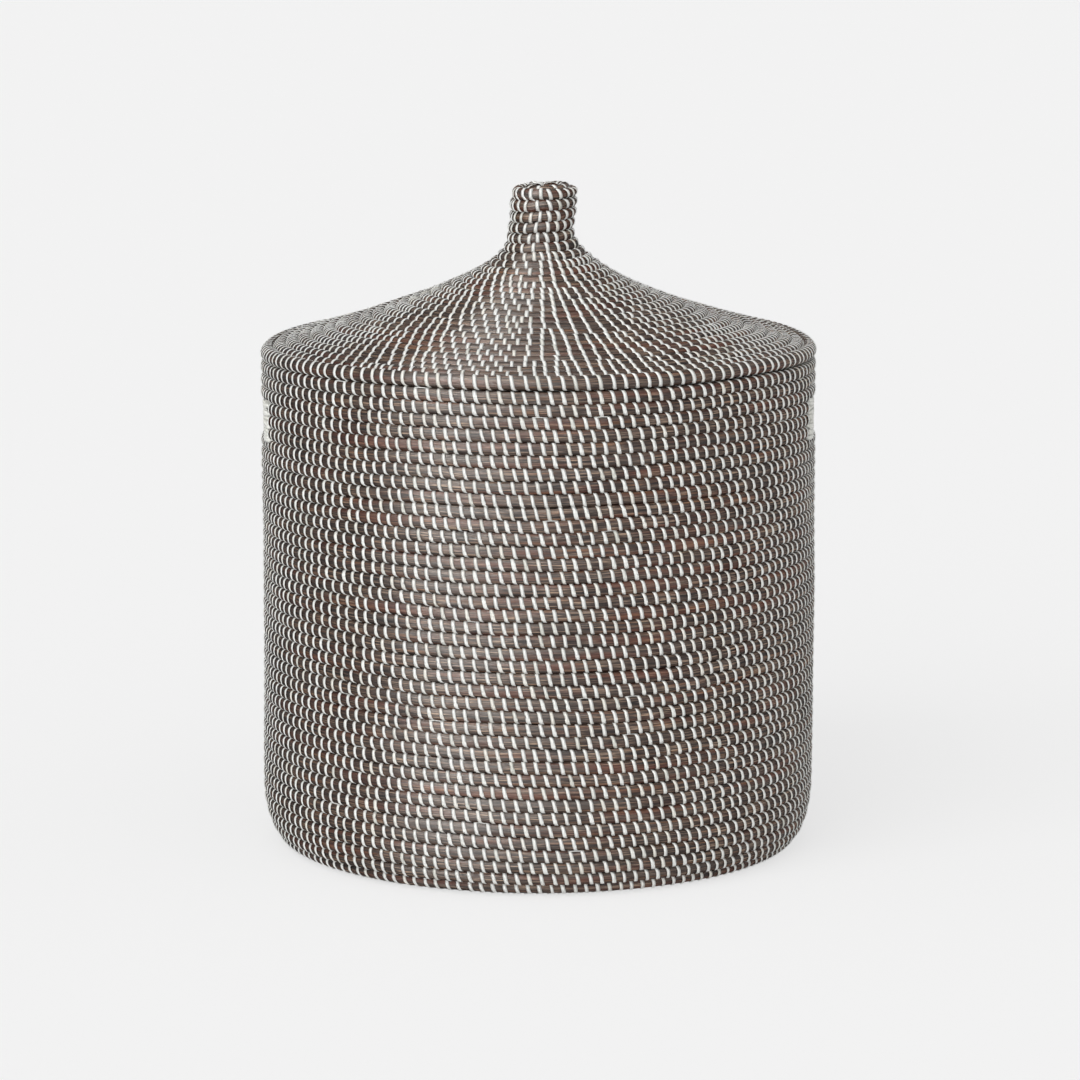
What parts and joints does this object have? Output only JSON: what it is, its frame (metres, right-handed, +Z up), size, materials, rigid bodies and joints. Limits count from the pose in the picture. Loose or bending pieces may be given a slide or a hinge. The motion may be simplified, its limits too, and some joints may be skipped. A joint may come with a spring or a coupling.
{
  "type": "laundry hamper",
  "caption": "Round lidded laundry hamper of coiled grass sewn with pale strip; rounded heel, two handholes, and a lift-off concave lid that rises to a knob.",
  "frame": {"origin": "on the floor under the middle of the round base", "axes": "+Z up along the axis of the body and the lid, X through the two handholes, -Y the side that the picture shows"},
  "size_m": [0.5, 0.5, 0.6],
  "materials": {
    "grass": "dyed dry grass in a dense bundle, fine strands along the coil, slight sheen",
    "strip": "flat off-white plastic strip, satin"
  },
  "bodies": {
    "basket": {"base_coil": "grass", "heel_coil": "grass", "wall_coil": "grass", "handhole_rows_front": "grass", "handhole_rows_back": "grass", "grip_coil": "grass", "rim_coil": "grass", "binding_left_front": "strip", "binding_left_back": "strip", "binding_right_front": "strip", "binding_right_back": "strip"},
    "lid": {"lid_rim_coil": "grass", "lid_cone_coil": "grass", "knob_coil": "grass", "knob_cap_coil": "grass", "lid_locating_ring": "grass"}
  },
  "joints": [
    {"name": "lid_lift", "type": "slide", "parent": "basket", "child": "lid", "axis": [0, 0, 1], "range_m": [0, 0.3]}
  ]
}
